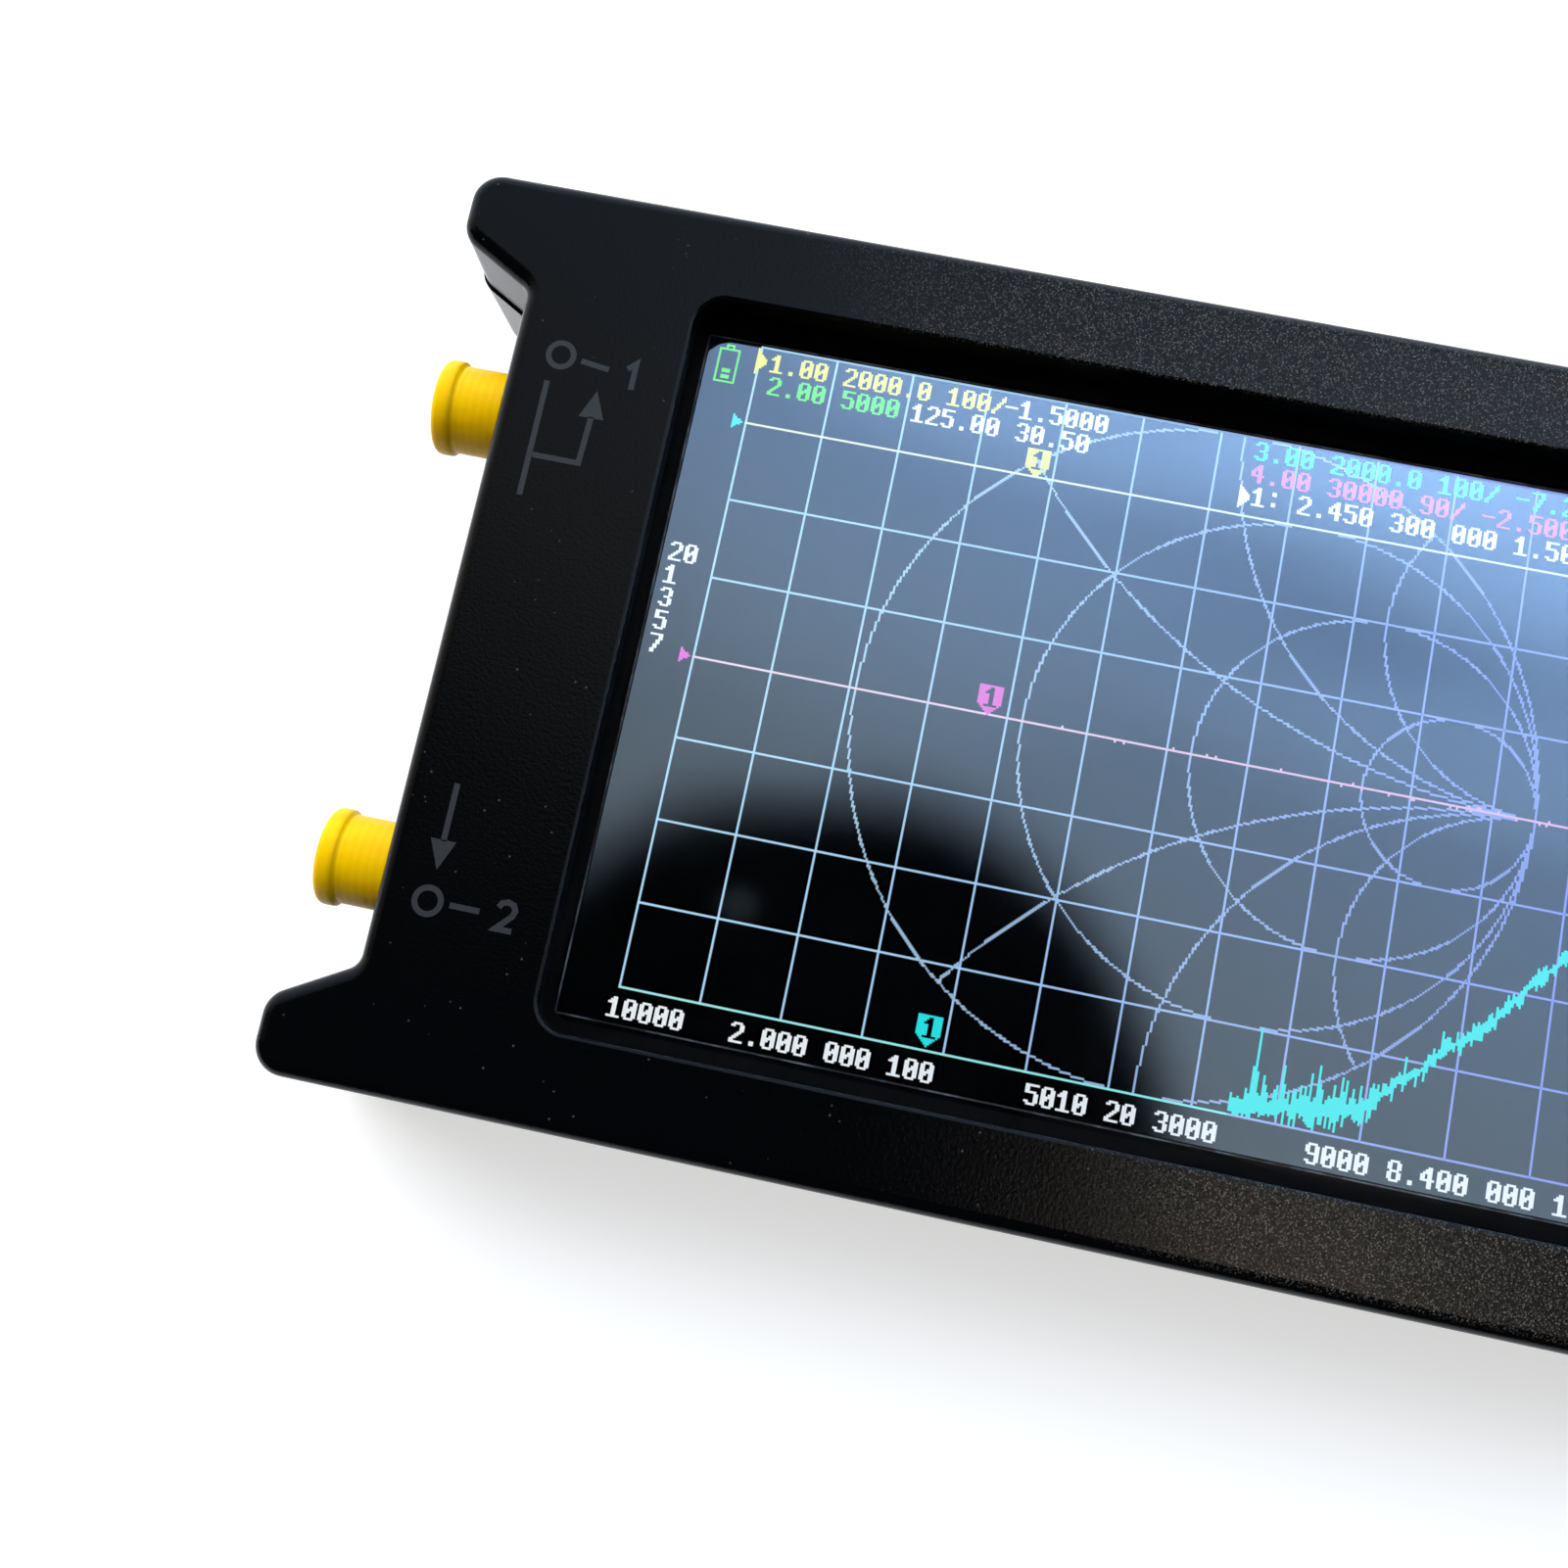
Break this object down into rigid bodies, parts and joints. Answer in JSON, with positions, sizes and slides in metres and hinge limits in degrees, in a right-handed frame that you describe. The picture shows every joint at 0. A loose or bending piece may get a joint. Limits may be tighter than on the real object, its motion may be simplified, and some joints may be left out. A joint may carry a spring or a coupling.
{
  "type": "vector network analyzer",
  "caption": "Handheld radio network analyzer: flat black case with a large touch display, and capped coaxial ports set back between corner horns.",
  "frame": {"origin": "middle of the part's box in plan, on the back face that it lies on", "axes": "+X from the two ports towards the sockets at the far end, +Y towards the top of the display, +Z out of the display"},
  "size_m": [0.127, 0.0738, 0.02],
  "materials": {
    "case_black": "fine moulded grain",
    "switch_black": "satin",
    "cap_yellow": "soft translucent polyethylene",
    "gold_plate": "gold plated",
    "steel": "tinned",
    "screw_black": "black oxide",
    "insulator": "white",
    "board": "solder mask over glass fibre laminate",
    "chip": "moulded epoxy",
    "touch_glass": "clear, glossy",
    "display": "lit graph on a dark ground",
    "cell_pouch": "laminated foil",
    "foam": "closed-cell foam",
    "ribbon": "amber film",
    "lead_red": "soft",
    "lead_black": "soft"
  },
  "bodies": {
    "base": {"rear_shell": "case_black", "front_shell": "case_black", "battery_pad": "foam", "battery_cell": "cell_pouch", "battery_lead_red": "lead_red", "battery_lead_black": "lead_black", "battery_plug": "insulator", "main_board": "board", "controller_chip": "chip", "memory_chip": "chip", "clock_can": "steel", "charger_chip": "chip", "mixer_chip": "chip", "sma_jack_1": "gold_plate", "sma_insulator_1": "insulator", "sma_contact_1": "gold_plate", "port_shield_1": "steel", "sma_jack_2": "gold_plate", "sma_insulator_2": "insulator", "sma_contact_2": "gold_plate", "port_shield_2": "steel", "middle_shield": "steel", "usb_shell": "steel", "usb_tongue": "switch_black", "card_socket": "steel", "power_switch_body": "steel", "jog_switch_body": "switch_black", "ribbon_socket": "insulator", "display_ribbon": "ribbon", "light_tray": "steel", "display_panel": "display", "touch_panel": "touch_glass", "display_gasket": "foam", "board_screw_1": "steel", "board_screw_2": "steel", "board_screw_3": "steel", "board_screw_4": "steel", "case_screw_1": "screw_black", "case_screw_2": "screw_black", "case_screw_3": "screw_black", "case_screw_4": "screw_black"},
    "cap_1": {"dust_cap_1": "cap_yellow"},
    "cap_2": {"dust_cap_2": "cap_yellow"},
    "power_slider": {"power_switch_knob": "switch_black"},
    "jog_carrier": {"jog_block": "switch_black"},
    "jog_arm": {"jog_lever": "switch_black"}
  },
  "joints": [
    {"name": "cap_1_pull", "type": "slide", "parent": "base", "child": "cap_1", "axis": [-1, 0, 0], "range_m": [0, 0.012]},
    {"name": "cap_2_pull", "type": "slide", "parent": "base", "child": "cap_2", "axis": [-1, 0, 0], "range_m": [0, 0.012]},
    {"name": "power_slide", "type": "slide", "parent": "base", "child": "power_slider", "axis": [0, 1, 0], "range_m": [0, 0.002]},
    {"name": "jog_press", "type": "slide", "parent": "base", "child": "jog_carrier", "axis": [0, -1, 0], "range_m": [0, 0.0005], "stiffness_N_per_m": 400},
    {"name": "jog_tilt", "type": "hinge", "parent": "jog_carrier", "child": "jog_arm", "pos_m": [0.0511, 0.0317, 0.0127], "axis": [0, 0, 1], "range_deg": [-12, 12], "stiffness_Nm_per_rad": 0.004}
  ]
}
